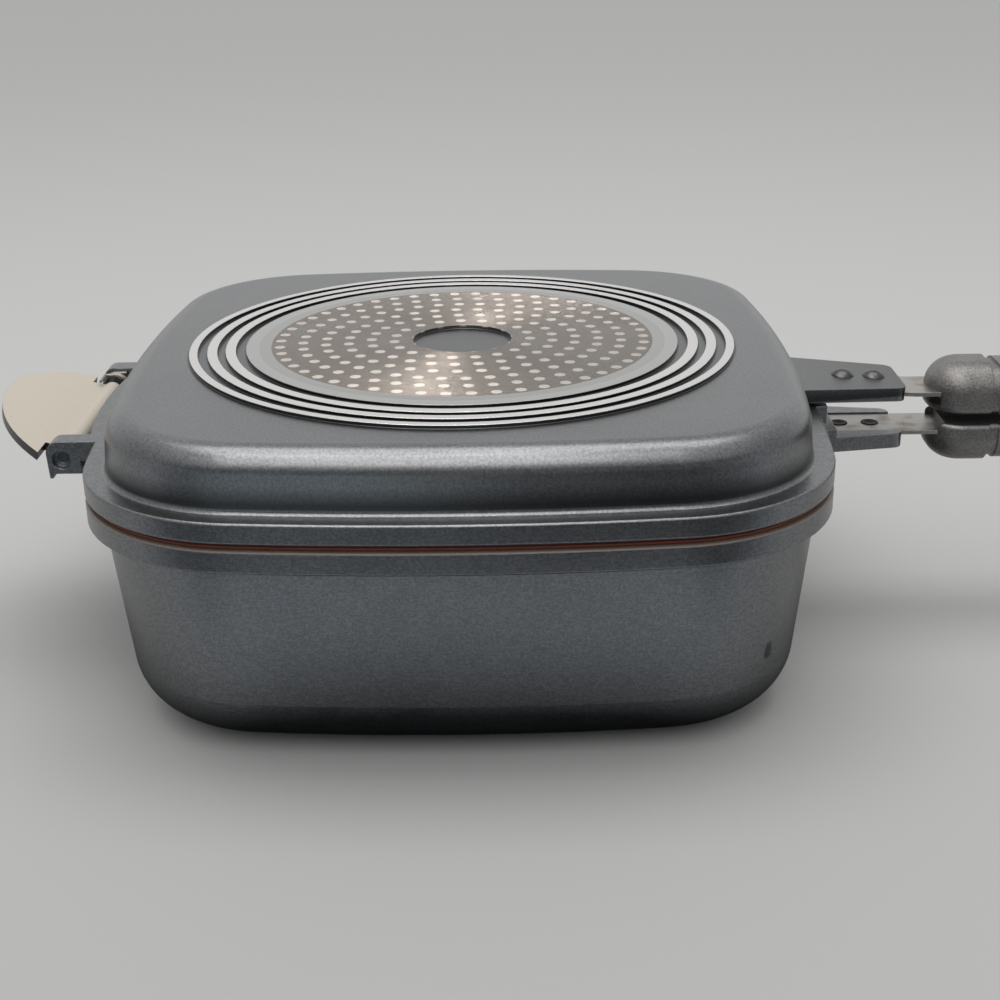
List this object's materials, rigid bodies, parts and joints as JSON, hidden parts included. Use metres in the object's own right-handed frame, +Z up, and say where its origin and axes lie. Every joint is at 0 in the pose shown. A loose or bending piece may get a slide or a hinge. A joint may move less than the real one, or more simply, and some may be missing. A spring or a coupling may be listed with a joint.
{
  "type": "double sided flip pan",
  "caption": "Square double sided flip pan: a deep and a shallow cast pan hinged rim to rim, with paired handles, seal and drip tray.",
  "frame": {"origin": "middle of the deep pan's base, on the surface that it stands on", "axes": "+Z up, +X along the handles away from the pans, hinge pin along Y on the -X side"},
  "size_m": [0.4907, 0.259, 0.11],
  "materials": {
    "pan_coating": "cast aluminium under a satin dark grey coating",
    "steel_disc": "satin, dimpled",
    "seal": "matt dark red silicone",
    "strap_steel": "brushed",
    "rivet_metal": "satin, coated with the pan",
    "pin_steel": "plain",
    "spring_steel": "plain wire",
    "grip_moulding": "satin grey",
    "screw_steel": "plain",
    "magnet_plate": "bright plated"
  },
  "bodies": {
    "lower": {"lower_pan": "pan_coating", "lower_disc": "steel_disc", "hinge_pin": "pin_steel", "hinge_spring": "spring_steel", "lower_tang": "strap_steel", "lower_rivets": "rivet_metal", "lower_grip": "grip_moulding", "lower_grip_screws": "screw_steel", "lower_magnet": "magnet_plate"},
    "upper": {"upper_pan": "pan_coating", "upper_disc": "steel_disc", "gasket": "seal", "upper_tang": "strap_steel", "upper_rivets": "rivet_metal", "upper_grip": "grip_moulding", "upper_grip_screws": "screw_steel", "upper_magnet": "magnet_plate"}
  },
  "joints": [
    {"name": "lid_hinge", "type": "hinge", "parent": "lower", "child": "upper", "pos_m": [-0.1399, 0, 0.0816], "axis": [0, -1, 0], "range_deg": [0, 95], "deforming": ["hinge_spring"]}
  ]
}
